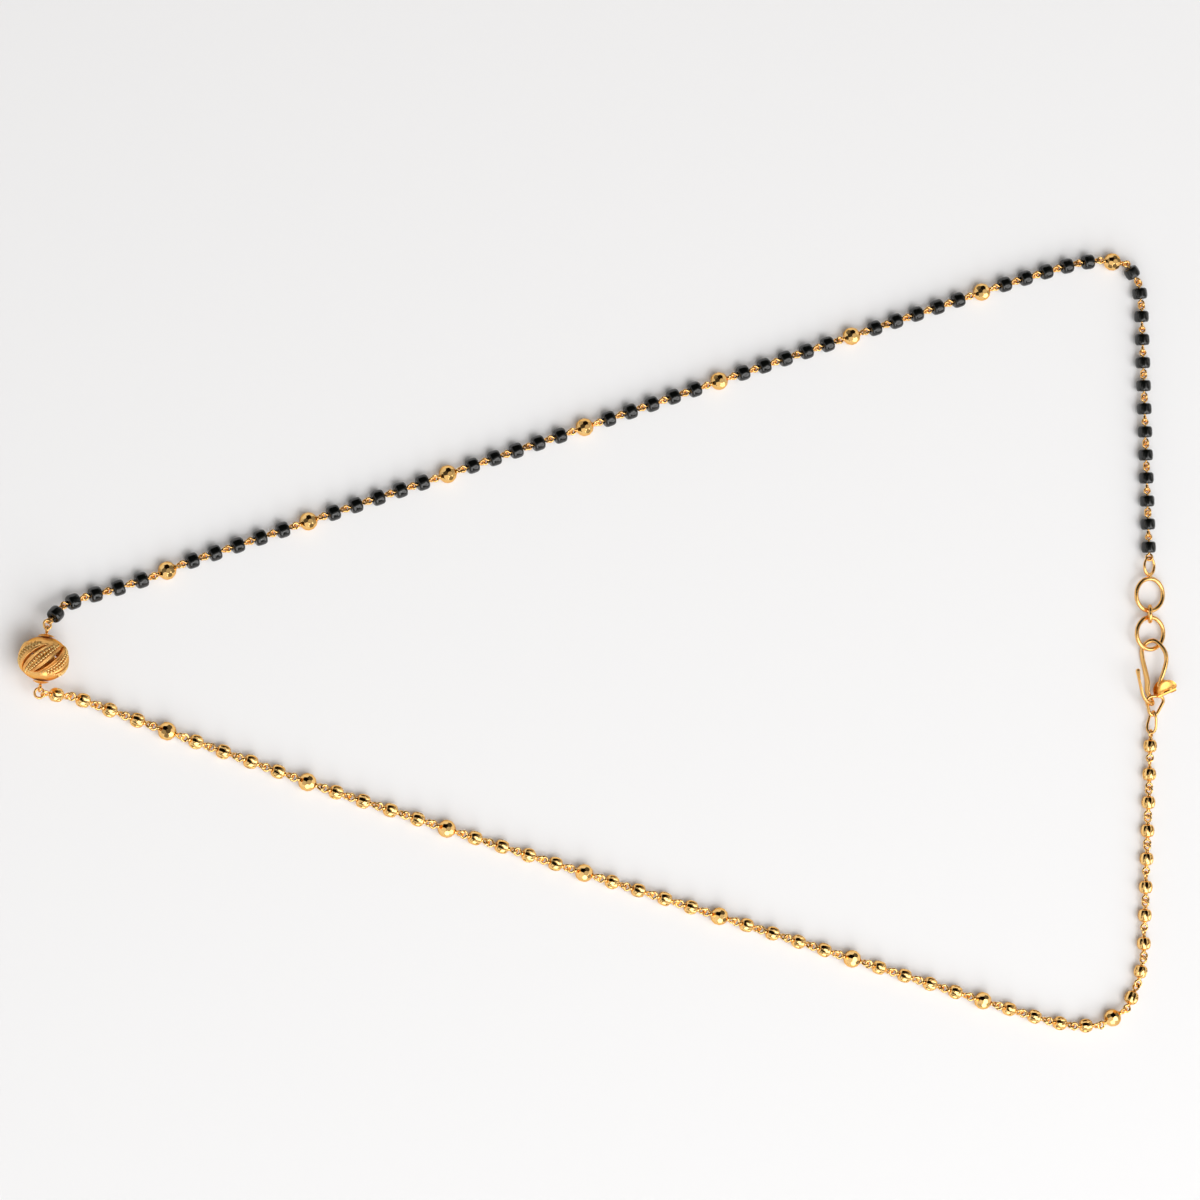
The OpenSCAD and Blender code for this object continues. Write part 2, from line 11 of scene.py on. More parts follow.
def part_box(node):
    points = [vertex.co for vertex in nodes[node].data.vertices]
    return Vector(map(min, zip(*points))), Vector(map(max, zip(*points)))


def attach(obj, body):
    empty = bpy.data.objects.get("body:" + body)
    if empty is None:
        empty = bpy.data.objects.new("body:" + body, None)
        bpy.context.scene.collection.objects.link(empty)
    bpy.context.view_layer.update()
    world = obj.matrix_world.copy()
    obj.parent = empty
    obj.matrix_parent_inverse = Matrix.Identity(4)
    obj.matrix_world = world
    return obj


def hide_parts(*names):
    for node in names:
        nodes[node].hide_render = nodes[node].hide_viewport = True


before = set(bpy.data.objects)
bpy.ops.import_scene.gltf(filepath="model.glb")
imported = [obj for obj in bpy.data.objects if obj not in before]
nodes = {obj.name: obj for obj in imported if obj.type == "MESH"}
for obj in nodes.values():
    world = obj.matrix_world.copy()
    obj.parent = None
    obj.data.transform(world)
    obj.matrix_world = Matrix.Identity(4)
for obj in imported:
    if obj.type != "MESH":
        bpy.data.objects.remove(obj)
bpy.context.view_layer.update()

MM = 0.001
UP = np.array([0.0, 0.0, 1.0])

# Sizes of the real pieces, in millimetres
BEAD_D, BEAD_LEN, BEAD_BORE = 2.5, 1.9, 0.9
FACETED_D, FACETED_COUNT, RIBBED_D, RIBS = 2.9, 16, 2.3, 12
BEAD_EYE_R, BEAD_WIRE = 0.45, 0.3
GOLD_EYE_R, GOLD_WIRE = 0.55, 0.32
# The wire seen in the photograph is a little thicker than the CAD's, which keeps a safe clearance:
# shares for eyes, rings, the small ring and the end link, and mm of skin for the wires at the ball
WIRE_SWELL, RING_SWELL, CONNECTOR_SWELL, END_LINK_SWELL = 1.2, 1.1, 1.25, 1.15
PIN_SKIN = 0.05
BALL_D, BALL_LEN, BALL_WALL, BALL_SLOTS = 8.0, 7.0, 0.5, 6
BALL_HEADING = 83
RING_R, RING_WIRE = 2.7, 0.65
CONNECTOR_R, CONNECTOR_WIRE = 1.25, 0.55
END_LOOP_R, END_LOOP_WIRE = 1.45, 0.42
SOLDER_GAP = 0.64
RING_ROLL, END_LOOP_ROLL, CONNECTOR_ROLL = -12, -33, 110
CLASP_HEADING = -89.3
PLAY = 0.11
HOOK_WIRE, HOOK_LEN = 0.72, 11.0
END_RING_WIRE, END_LINK_WIRE = 0.5, 0.4
TAG_D, TAG_SHEET = 3.8, 0.2


# Geometry in numpy: each shape is a pair of points, in millimetres, and faces

def unit(v):
    v = np.asarray(v, float)
    return v / np.linalg.norm(v)


def direction(heading):
    return np.array([math.cos(math.radians(heading)), math.sin(math.radians(heading)), 0.0])


def frame_along(axis, up=UP):
    """Columns are the axis, the side and the top of a piece that lies along the axis."""
    x = unit(axis)
    y = unit(np.cross(up, x))
    return np.column_stack([x, y, np.cross(x, y)])


def placed(shape, at, axes):
    points, faces = shape
    return points @ np.asarray(axes).T + np.asarray(at), faces


def joined(shapes):
    points, faces, count = [], [], 0
    for part_points, part_faces in shapes:
        points.append(part_points)
        faces += [tuple(i + count for i in face) for face in part_faces]
        count += len(part_points)
    return np.vstack(points), faces


def grid_faces(rows, around, closed=False):
    """Faces between rings of points, each row with the same number around."""
    faces = []
    for i in range(rows if closed else rows - 1):
        a, b = i * around, (i + 1) % rows * around
        for k in range(around):
            n = (k + 1) % around
            faces.append((a + k, b + k, b + n, a + n))
    return faces


def lathe(profile, sides, waviness=None):
    """Turns rows of (x, radius) round the X axis. A row of radius 0 is a pole."""
    angles = [2 * math.pi * k / sides for k in range(sides)]
    rows = []
    for x, r in profile:
        for k, a in enumerate(angles):
            w = r * (waviness(a, x) if waviness else 1)
            rows.append((x, w * math.cos(a), w * math.sin(a)))
    return np.array(rows), grid_faces(len(profile), sides)


def ring_lathe(profile, sides, waviness=None):
    """As lathe, for a profile that closes on itself, such as a drilled bead's."""
    points, _ = lathe(profile, sides, waviness)
    return points, grid_faces(len(profile), sides, closed=True)


# Degrees of a quarter round at which a wire's rounded end has a ring of points
ROUNDED_END = (30, 60, 85)


def carried_sides(path, closed, first=None):
    """A side direction at each point of a path, carried along so that it doesn't twist."""
    n = len(path)
    ahead = []
    for i in range(n):
        before = path[i - 1] if closed or i else path[0]
        after = path[(i + 1) % n] if closed or i < n - 1 else path[-1]
        ahead.append(unit(after - before))
    start = UP if first is None else np.asarray(first, float)
    if abs(np.dot(start, ahead[0])) > 0.95:
        start = np.array([1.0, 0.0, 0.0])
    side = unit(start - np.dot(start, ahead[0]) * ahead[0])
    sides = []
    for t in ahead:
        side = unit(side - np.dot(side, t) * t)
        sides.append(side)
    return ahead, sides


def tube(path, wire, around, closed=False, first=None):
    """Wire along a path: one diameter, or rows of width and thickness. Open ends are rounded."""
    path = [np.asarray(p, float) for p in path]
    if np.ndim(wire) < 2:
        wire = [(wire, wire)] * len(path)
    ahead, sides = carried_sides(path, closed, first)
    rings = [(p, t, s, w / 2, h / 2) for p, t, s, (w, h) in zip(path, ahead, sides, wire)]
    if not closed:
        caps = [(math.cos(a), math.sin(a)) for a in (math.radians(d) for d in ROUNDED_END)]
        for end, sign in ((0, -1), (-1, 1)):
            p, t, s, w, h = rings[end]
            new = [(p + sign * t * min(w, h) * lift, t, s, w * share, h * share)
                   for share, lift in caps]
            rings = new[::-1] + rings if end == 0 else rings + new
    angles = [2 * math.pi * k / around for k in range(around)]
    points = []
    for p, t, s, w, h in rings:
        other = np.cross(t, s)
        points += [p + w * math.cos(a) * s + h * math.sin(a) * other for a in angles]
    faces = grid_faces(len(rings), around, closed)
    if not closed:
        last = (len(rings) - 1) * around
        faces += [tuple(range(around)), tuple(last + k for k in reversed(range(around)))]
    return np.array(points), faces


def smooth_path(rows, steps):
    """Catmull-Rom curve through rows of any width."""
    rows = [np.asarray(r, float) for r in rows]
    out = []
    for i in range(len(rows) - 1):
        p, q, r, s = rows[max(i - 1, 0)], rows[i], rows[i + 1], rows[min(i + 2, len(rows) - 1)]
        for k in range(steps):
            u = k / steps
            out.append(0.5 * (2 * q + (r - p) * u + (2 * p - 5 * q + 4 * r - s) * u ** 2
                              + (3 * q - p - 3 * r + s) * u ** 3))
    out.append(rows[-1])
    return out


BLOB_POLE = 0.02


def blob(at, radii, rings=8, sides=16):
    """A rounded lump, such as a granule or a drop of solder, with a tiny flat at each pole."""
    turns = [math.pi * i / rings for i in range(rings + 1)]
    points, faces = lathe([(-math.cos(a), max(math.sin(a), BLOB_POLE)) for a in turns], sides)
    last = rings * sides
    faces = faces + [tuple(reversed(range(sides))), tuple(last + k for k in range(sides))]
    return points * np.asarray(radii, float) + at, [tuple(reversed(f)) for f in faces]


# Reading the chain's places from the frame

def loose_solids(name):
    """Points of each loose solid of a CAD node, in millimetres."""
    mesh = nodes[name].data
    co = np.zeros(len(mesh.vertices) * 3)
    mesh.vertices.foreach_get("co", co)
    co = co.reshape(-1, 3) / MM
    points, index = np.unique(np.round(co, 4), axis=0, return_inverse=True)
    index = index.reshape(-1)
    root = list(range(len(points)))

    def find(i):
        while root[i] != i:
            root[i] = root[root[i]]
            i = root[i]
        return i

    ends = np.zeros(len(mesh.edges) * 2, int)
    mesh.edges.foreach_get("vertices", ends)
    for a, b in index[ends].reshape(-1, 2):
        root[find(a)] = find(b)
    groups = {}
    for i in range(len(points)):
        groups.setdefault(find(i), []).append(i)
    return [points[g] for g in groups.values()]


def read_eye(points, centre, axis, eye_r, wire):
    """Centre, normal and radius of the eye at the end of a unit that axis points to."""
    outer = eye_r + wire / 2
    along = (points - centre) @ axis
    tip = along.max()
    end = points[along > tip - outer]
    across = (end - centre) - np.outer((end - centre) @ axis, axis)
    chord = unit(np.linalg.svd(across - across.mean(0), full_matrices=False)[2][0])
    normal = unit(np.cross(axis, chord))
    middle = [(d, ((end - centre) @ d)) for d in (chord, normal)]
    offset = sum(d * (s.min() + s.max()) / 2 for d, s in middle)
    reach = (middle[0][1].max() - middle[0][1].min()) / 2
    return centre + axis * (tip - reach) + offset, normal, reach - wire / 2


def read_unit(points, eye_r, wire):
    """The two eyes of a bead's or ball's wire: each is centre, normal and radius."""
    centre = (points.min(0) + points.max(0)) / 2
    axis = unit(np.linalg.svd(points - points.mean(0), full_matrices=False)[2][0])
    for _ in range(2):
        far = read_eye(points, centre, axis, eye_r, wire)
        near = read_eye(points, centre, -axis, eye_r, wire)
        axis = unit(far[0] - near[0])
        centre = (far[0] + near[0]) / 2
    return near, far


# Wire work of the chain

# Degrees by which an upright eye and a flat eye lean over as the chain lies
UPRIGHT_LEAN, FLAT_LEAN = (34, 48), (-8, 8)
# An eye goes round from its kink to its cut end, in degrees, and climbs a little as it goes
EYE_FROM, EYE_TO, EYE_POINTS, EYE_CLIMB, EYE_SIDES = 14, 344, 22, 0.02, 12
# The kink where the shank meets the eye: mm out from the eye's circle, and its step aside
KINK_FROM, KINK_TO, KINK_ASIDE = 0.32, 0.13, 0.015
# How far a shank runs into its bead or ball
SHANK_INSIDE = 0.2
# The collars of the gold balls: radius, length and how far each is sunk in the ball
COLLAR_R, COLLAR_LEN, COLLAR_SUNK = 0.36, 0.32, 0.1
# An up direction that no wire of the chain runs along
NEARLY_UP = np.array([0.13, 0.21, 0.97])
# First seeds of the random draws: eyes of the ribbed and faceted balls, and the ribbed balls' spin
RIBBED_EYE_SEED, FACETED_EYE_SEED, SPIN_SEED = 100, 200, 300


def rolled_eye(eye, axis, chance):
    """The same eye, turned about its shank as the chain lies: upright ones lean over the most."""
    centre, normal, r = eye
    if abs(normal[2]) < 0.5:
        lean_over = chance.choice((-1, 1)) * chance.uniform(*UPRIGHT_LEAN)
    else:
        lean_over = chance.uniform(*FLAT_LEAN)
    turn = math.radians(lean_over)
    return centre, unit(math.cos(turn) * normal + math.sin(turn) * np.cross(axis, normal)), r


def bent_eye(eye, inward, wire, shank_to):
    """A round-nose-plier eye: the wire comes out of the bead, kinks and goes once round."""
    centre, normal, r = eye
    across = np.cross(normal, inward)
    start = centre + inward * shank_to
    turn = [math.radians(a) for a in np.linspace(EYE_FROM, EYE_TO, EYE_POINTS)]
    circle = [centre + r * (math.cos(a) * inward + math.sin(a) * across) for a in turn]
    path = [start, centre + inward * (r + KINK_FROM),
            centre + inward * (r + KINK_TO) + across * KINK_ASIDE]
    path += [p + EYE_CLIMB * normal * (0.5 - i / EYE_POINTS) for i, p in enumerate(circle)]
    return tube(path, wire * WIRE_SWELL, EYE_SIDES)


def wire_collar(at, axis, wire):
    """A short tube soldered round the wire where it leaves a gold ball, its rims rounded."""
    profile = [(0, wire / 2), (0, COLLAR_R * 0.9), (COLLAR_LEN * 0.25, COLLAR_R),
               (COLLAR_LEN * 0.75, COLLAR_R), (COLLAR_LEN, COLLAR_R * 0.86), (COLLAR_LEN, wire / 2)]
    return placed(lathe(profile, 20), at, frame_along(axis, NEARLY_UP))


def collars(near, far, body_len, wire):
    axis = unit(far[0] - near[0])
    centre = (near[0] + far[0]) / 2
    reach = body_len / 2 - COLLAR_SUNK
    return [wire_collar(centre + reach * axis, axis, wire),
            wire_collar(centre - reach * axis, -axis, wire)]


def eyes_of(near, far, wire, body_len, seed):
    """Both eyes with the shanks that run into the bead or ball."""
    axis = unit(far[0] - near[0])
    chance = random.Random(seed)
    near, far = rolled_eye(near, axis, chance), rolled_eye(far, axis, chance)
    length = np.linalg.norm(far[0] - near[0])
    inside = length / 2 - body_len / 2 + SHANK_INSIDE
    return [bent_eye(near, axis, wire, inside), bent_eye(far, -axis, wire, inside)]


# Black glass beads

# Soft flats round the waist: how many, how deep as a share of the radius, and how far they twist
BEAD_FLATS, FLAT_DEPTH, FLAT_TWIST = (7, 8, 8, 9), (0.008, 0.016), (-0.25, 0.25)
OUT_OF_ROUND = 0.006
# The bead's outline: its power is below 1, for corners fuller than an ellipse's
BEAD_ROWS, BEAD_SIDES, BEAD_POWER = 24, 48, 0.62
# The flat round the drill hole. The hole's broken edge ends EDGE_IN inside it, and on the way stands
# EDGE_UP off the bore and EDGE_ASIDE in from the bead's end
HOLE_FLAT, EDGE_IN, EDGE_UP, EDGE_ASIDE = 0.2, 0.1, 0.06, 0.03


def glass_bead(seed):
    """Drilled bead of pressed glass, its waist softly flattened by the mould and the fire polish."""
    chance = random.Random(seed)
    flats = chance.choice(BEAD_FLATS)
    phase = chance.uniform(0, 2 * math.pi)
    depth = chance.uniform(*FLAT_DEPTH)
    twist = chance.uniform(*FLAT_TWIST)

    def waviness(angle, x):
        flat = depth * (0.5 - 0.5 * math.cos(flats * (angle + twist * x) + phase))
        return 1 - flat - OUT_OF_ROUND * math.cos(2 * angle + phase)

    half, outer, inner = BEAD_LEN / 2, BEAD_D / 2, BEAD_BORE / 2
    rim = inner + HOLE_FLAT
    profile = []
    for i in range(BEAD_ROWS + 1):
        a = math.pi * i / BEAD_ROWS
        x = -half * math.copysign(abs(math.cos(a)) ** BEAD_POWER, math.cos(a))
        profile.append((x, rim + (outer - rim) * math.sin(a) ** BEAD_POWER))
    profile += [(half - EDGE_ASIDE, inner + EDGE_UP), (half - EDGE_IN, inner)]
    profile += [(-half + EDGE_IN, inner), (-half + EDGE_ASIDE, inner + EDGE_UP)]
    return ring_lathe(profile[::-1], BEAD_SIDES, waviness)


# Gold balls

# The ribbed ball's blank: half its length as a share of its radius, the radius of its flat ends,
# and the power that rounds it between them
RIBBED_HALF, RIBBED_END_R, RIBBED_POWER = 0.92, COLLAR_R, 0.75
# Its hollow cuts: depth as a share of the radius, how soon they run out, and how hollow they are
FLUTE_DEPTH, FLUTE_RUN_OUT, FLUTE_POWER = 0.075, 1.3, 0.8
FLUTE_ROWS, FLUTE_STEPS = 14, 8


def ribbed_ball():
    """Round ball with hollow cuts along its bore and sharp ridges between them, its ends flat."""
    r, sides = RIBBED_D / 2, RIBS * FLUTE_STEPS
    half = RIBBED_HALF * r
    blank = []
    for i in range(FLUTE_ROWS + 1):
        a = math.pi * i / FLUTE_ROWS
        blank.append((-half * math.cos(a),
                      RIBBED_END_R + (r - RIBBED_END_R) * math.sin(a) ** RIBBED_POWER))

    def cut(angle, x):
        share = angle * RIBS / (2 * math.pi) % 1
        depth = FLUTE_DEPTH * min(1.0, FLUTE_RUN_OUT * (1 - (x / half) ** 2))
        return 1 - depth * (4 * share * (1 - share)) ** FLUTE_POWER

    points, faces = lathe(blank, sides, cut)
    last = FLUTE_ROWS * sides
    faces += [tuple(range(sides)), tuple(last + k for k in reversed(range(sides)))]
    return points, faces


# Rows of flat cuts on the faceted ball: latitude, first longitude, step and number
FACET_ROWS = ((0, 0, 30, 12), (28, 15, 30, 12), (-28, 15, 30, 12), (56, 0, 45, 8), (-56, 0, 45, 8))
# Shares of the radius: where the cuts lie, and the round blank that they leave as ridges
FACET_AT, FACET_BLANK = 0.965, 1.004


def cut_ball():
    """Sphere with round flat cuts, which leave narrow gold ridges between them."""
    r = FACETED_D / 2
    mesh = bmesh.new()
    bmesh.ops.create_icosphere(mesh, subdivisions=4, radius=r * FACET_BLANK)
    cuts = []
    for lat, first, step, count in FACET_ROWS:
        for i in range(count):
            a, b = math.radians(lat), math.radians(first + step * i)
            cuts.append(Vector((math.sin(a), math.cos(a) * math.cos(b), math.cos(a) * math.sin(b))))
    for n in cuts:
        whole = mesh.verts[:] + mesh.edges[:] + mesh.faces[:]
        done = bmesh.ops.bisect_plane(mesh, geom=whole, dist=1e-5, plane_co=n * r * FACET_AT,
                                      plane_no=n, clear_outer=True)
        edges = [e for e in done["geom_cut"] if isinstance(e, bmesh.types.BMEdge)]
        bmesh.ops.edgeloop_fill(mesh, edges=edges)
    bmesh.ops.remove_doubles(mesh, verts=mesh.verts[:], dist=1e-4)
    mesh.verts.index_update()
    points = np.array([v.co for v in mesh.verts])
    faces = [tuple(v.index for v in f.verts) for f in mesh.faces]
    mesh.free()
    return points, faces


# The pierced ball

# Angles in degrees: a slot's width, its slant against the waist and its reach along that slant,
# and the latitude beyond which the shell is open
SECTOR = 360 / BALL_SLOTS
SLOT_WIDE, SLOT_SLANT, SLOT_REACH = 10.5, 50, 56
END_LAT = 84
# The skin lies this much under the solid's, to leave room for ridges and grains
SKIN_UNDER = 0.06
# The sunk bed of the grains across a sector, its depth and the degrees over which its sides slope
BED_FROM, BED_TO, BED_DEPTH, BED_SLOPE = 22.5, 47.7, 0.3, 1.0
# The borders beside it: fine ridges between two lips, which lie outside these shares of a border
BORDER_RIDGES, RIDGE_HEIGHT, LIP_HEIGHT, LIP_TO, LIP_FROM = 4, 0.022, 0.03, 0.16, 0.86
# Borders and bed run out by this latitude, over so many degrees before it
BAND_END, BAND_FADE = 48, 8
# Two columns of grains in a sector, the second half a grain further on
GRANULE_COLUMNS, GRANULE_REACH, FIRST_GRAIN, HALF_A_GRAIN = (28.7, 41.5), 58, 0.25, 0.5
GRANULES_A_ROW, GRANULE_R = 15, 0.235
# Height of the grains' middles over the skin, and their height where the ball touches the table,
# further down than this share of its radius
GRANULE_SUNK, GRANULE_SUNK_BELOW, LOW_SIDE = -0.07, -0.2, 0.9
# The shell's grid: rows along a slot and beyond each end of it, and degrees between its columns
SLOT_ROWS, END_ROWS, COLUMN_STEP, LAST_COLUMN_GAP = 56, 10, 0.75, 0.3


def slant_lat(along):
    """Latitude after so many degrees along a slot's great circle."""
    return math.degrees(math.asin(math.sin(math.radians(along)) * math.sin(math.radians(SLOT_SLANT))))


SLOT_LAT = slant_lat(SLOT_REACH)


def lean(lat):
    """Longitude by which a slot has leaned over at this latitude."""
    held = math.radians(min(max(lat, -SLOT_LAT), SLOT_LAT))
    leaned = math.tan(held) / math.tan(math.radians(SLOT_SLANT))
    return math.degrees(math.asin(max(-1, min(1, leaned))))


def on_ball(lat, lon, out=0.0):
    """Point on the ball, its axis along Z; out is how far it stands above the skin."""
    a, b = math.radians(lat), math.radians(lon + lean(lat))
    waist, end = BALL_D / 2 - SKIN_UNDER + out, BALL_LEN / 2 + out
    r = waist * math.cos(a)
    return np.array([r * math.cos(b), r * math.sin(b), end * math.sin(a)])


def band_height(u):
    """Height of the skin across one sector: ridged borders beside the slot, a sunk bed for grains."""
    if BED_FROM < u < BED_TO:
        edge = min(u - BED_FROM, BED_TO - u)
        return -BED_DEPTH * min(1, edge / BED_SLOPE)
    if u <= SLOT_WIDE:
        return 0.0
    if u < BED_FROM:
        along = (u - SLOT_WIDE) / (BED_FROM - SLOT_WIDE)
    else:
        along = (SECTOR - u) / (SECTOR - BED_TO)
    lip = 0.0 if LIP_TO <= along <= LIP_FROM else LIP_HEIGHT
    return lip + RIDGE_HEIGHT * math.cos(2 * math.pi * BORDER_RIDGES * along)


def ball_columns():
    """Longitudes of one sector's grid: the slot's two edges, then even steps."""
    steps = np.arange(SLOT_WIDE + COLUMN_STEP, SECTOR - LAST_COLUMN_GAP, COLUMN_STEP)
    return [0, SLOT_WIDE] + list(steps)


def ball_latitudes():
    """Latitudes of the grid: even steps beyond the slots, steps along the slant beside them."""
    lats = [-END_LAT + (END_LAT - SLOT_LAT) * i / END_ROWS for i in range(END_ROWS)]
    lats += [slant_lat(SLOT_REACH * (2 * i / SLOT_ROWS - 1)) for i in range(SLOT_ROWS + 1)]
    lats += [SLOT_LAT + (END_LAT - SLOT_LAT) * (i + 1) / END_ROWS for i in range(END_ROWS)]
    return lats


def pierced_shell():
    """Hollow shell with six leaning slots cut through, in the frame whose Z is the ball's axis."""
    one_sector = ball_columns()
    columns = [u + SECTOR * s for s in range(BALL_SLOTS) for u in one_sector]
    per_sector = len(one_sector)
    lats = ball_latitudes()
    cols, rows = len(columns), len(lats)
    outer, inner = [], []
    for lat in lats:
        fade = max(0.0, min(1.0, (BAND_END - abs(lat)) / BAND_FADE))
        for lon in columns:
            outer.append(on_ball(lat, lon, band_height(lon % SECTOR) * fade))
            inner.append(on_ball(lat, lon, SKIN_UNDER - BALL_WALL))
    m = cols * rows

    def at(i, j):
        return j * cols + i % cols

    def wall(a, b):
        """Joins the outer edge from a to b to the inner one."""
        faces.append((b, a, m + a, m + b))

    faces = []
    slot_from, slot_to = END_ROWS, END_ROWS + SLOT_ROWS
    for j in range(rows - 1):
        for i in range(cols):
            a, b, c, d = at(i, j), at(i + 1, j), at(i + 1, j + 1), at(i, j + 1)
            if i % per_sector == 0 and slot_from <= j < slot_to:
                wall(d, a)
                wall(b, c)
                if j == slot_from:
                    wall(a, b)
                if j == slot_to - 1:
                    wall(c, d)
            else:
                faces.append((a, b, c, d))
                faces.append((m + d, m + c, m + b, m + a))
    for i in range(cols):
        wall(at(i, 0), at(i + 1, 0))
        wall(at(i + 1, rows - 1), at(i, rows - 1))
    return np.array(outer + inner), faces


def granule_rows():
    """Double row of round grains soldered between the borders."""
    grains = []
    for sector in range(BALL_SLOTS):
        for c, column in enumerate(GRANULE_COLUMNS):
            for i in range(GRANULES_A_ROW):
                share = (i + FIRST_GRAIN + HALF_A_GRAIN * c) / GRANULES_A_ROW
                place = slant_lat(GRANULE_REACH * (2 * share - 1)), column + SECTOR * sector
                low = on_ball(*place)[0] >= LOW_SIDE * BALL_D / 2
                centre = on_ball(*place, GRANULE_SUNK_BELOW if low else GRANULE_SUNK)
                grains.append(blob(centre, (GRANULE_R,) * 3, rings=6, sides=10))
    return joined(grains)


# The ball's own axes as it lies: X down to the table, Z along the chain, rolled a little about Z
BALL_ROLL = math.radians(6)
ball_side = np.cross(UP, direction(BALL_HEADING))
BALL_AXES = np.column_stack([math.sin(BALL_ROLL) * ball_side - math.cos(BALL_ROLL) * UP,
                             math.cos(BALL_ROLL) * ball_side + math.sin(BALL_ROLL) * UP,
                             direction(BALL_HEADING)])


# Rings and clasp

def ring(centre, axes, r, wire, around=20, steps=96):
    circle = [centre + axes @ np.array([r * math.cos(a), r * math.sin(a), 0.0])
              for a in (2 * math.pi * k / steps for k in range(steps))]
    return tube(circle, wire, around, closed=True, first=circle[0] - centre)


def rolled(heading, roll):
    """Axes of a piece that lies along a heading and is rolled about it."""
    x, c, s = direction(heading), math.cos(math.radians(roll)), math.sin(math.radians(roll))
    y = np.cross(UP, x)
    return np.column_stack([x, c * y + s * UP, -s * y + c * UP])


def middle(node):
    low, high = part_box(node)
    return (np.array(low) + np.array(high)) / 2 / MM


def overlap(wire_a, wire_b):
    return (wire_a + wire_b) / 2 + PLAY


row = direction(CLASP_HEADING)
row_right = np.cross(UP, row)
connector_at = middle("ring_connector")
ring_step = RING_R + CONNECTOR_R - overlap(RING_WIRE, CONNECTOR_WIRE)
ring_1_at = connector_at - ring_step * row
ring_2_at = connector_at + ring_step * row
end_loop_at = ring_1_at - (RING_R + END_LOOP_R + SOLDER_GAP) * row
hook_from = ring_2_at + RING_R * row


def on_clasp(s, right, z):
    """A point of the clasp: s past the second ring's wire, right of its row, z above the table."""
    return hook_from * (1, 1, 0) + s * row + right * row_right + z * UP


# The end loop thickens towards its weld, by a share and from so far round
WELD_SWELL, WELD_SPREAD = 0.2, 0.55
# The neck between loop and ring: mm along the row from the weld's middle, width and thickness
NECK = ((-0.42, 0.30, 0.30), (-0.12, 0.50, 0.44), (0.16, 0.58, 0.46), (0.46, 0.42, 0.36))
WELD_DROP = (0.3, 0.33, 0.26)
# The small ring: where its soldered joint is, in radians, the joint's radius, and the lift that
# keeps its thicker wire off the table
CONNECTOR_JOINT, CONNECTOR_JOINT_R, CONNECTOR_LIFT = 1.9, 0.4, 0.07
# The second ring's joint: degrees round, and its drop and the next one, so far along the row
RING_JOINT, JOINT_DROP, NEXT_DROP, NEXT_DROP_AT = -85, (0.40, 0.36, 0.36), (0.30, 0.355, 0.35), 0.42


def first_extension_ring():
    """Extension ring with the small end loop welded to it."""
    axes = rolled(CLASP_HEADING, RING_ROLL)
    loop_axes = rolled(CLASP_HEADING, END_LOOP_ROLL)
    weld = ring_1_at - (RING_R + SOLDER_GAP / 2) * row
    turns = [2 * math.pi * k / 64 for k in range(64)]
    loop = [end_loop_at + loop_axes @ np.array([END_LOOP_R * math.cos(a), END_LOOP_R * math.sin(a), 0])
            for a in turns]
    thick = [END_LOOP_WIRE * (1 + WELD_SWELL * max(0.0, math.cos(a) + WELD_SPREAD)) for a in turns]
    return joined([
        ring(ring_1_at, axes, RING_R, RING_WIRE * RING_SWELL),
        tube(loop, [(t, t) for t in thick], 16, closed=True),
        tube([weld + s * row for s, _, _ in NECK], [(w, h) for _, w, h in NECK], 16),
        blob(weld - 0.05 * row + 0.1 * row_right, WELD_DROP),
    ])


def ring_between():
    """Small ring of wire whose ends were closed and soldered, its joint a little swollen."""
    axes = rolled(CLASP_HEADING, CONNECTOR_ROLL)
    at = connector_at + CONNECTOR_LIFT * UP
    round_at = np.array([math.cos(CONNECTOR_JOINT), math.sin(CONNECTOR_JOINT), 0])
    return joined([ring(at, axes, CONNECTOR_R, CONNECTOR_WIRE * CONNECTOR_SWELL, 18, 64),
                   blob(at + axes @ (CONNECTOR_R * round_at), (CONNECTOR_JOINT_R,) * 3)])


def second_extension_ring():
    """Extension ring closed by a joint of two drops of solder."""
    axes = rolled(CLASP_HEADING, RING_ROLL)
    turn = math.radians(RING_JOINT)
    joint = ring_2_at + axes @ (RING_R * np.array([math.cos(turn), math.sin(turn), 0]))
    return joined([ring(ring_2_at, axes, RING_R, RING_WIRE * RING_SWELL),
                   blob(joint, JOINT_DROP), blob(joint + NEXT_DROP_AT * row, NEXT_DROP)])


# The hook's wire, row by row: percent of the clasp's length along the row and to its right, mm above
# the table, and shares of the wire's width and thickness. Its lower bend swings out further than the
# solid's and its arm is beaten flatter, as seen in the photograph
HOOK_COURSE = (
    (32, -28, 3.3, 1.05, 1.1), (45, -26, 3.3, 0.6, 1.1), (58, -22.5, 3.15, 0.6, 1.25),
    (68, -19, 2.9, 0.7, 1.15), (76, -13.5, 2.6, 0.8, 1.1), (81.5, -6, 2.1, 0.9, 1.05),
    (83.5, 2, 1.45, 0.95, 0.95), (80, 5, 0.88, 1, 0.9), (73, 2, 0.6, 1.2, 0.8),
    (63, -2, 0.56, 1.5, 0.65), (49, -2, 0.57, 1.7, 0.62), (33, -5, 0.57, 1.5, 0.65),
    (14, -9.5, 0.58, 1.3, 0.7), (-1, -10, 0.65, 1.05, 0.85),
    (-11, -3, 1.1, 1, 1), (-13, 6, 1.7, 1, 1), (-5, 15, 2.25, 1, 1),
    (6, 21, 2.5, 1, 1), (19, 22, 2.5, 1, 1), (34, 18, 2.4, 1, 1),
    (46, 14, 2.2, 0.95, 1), (56, 11, 2, 0.85, 0.9),
)


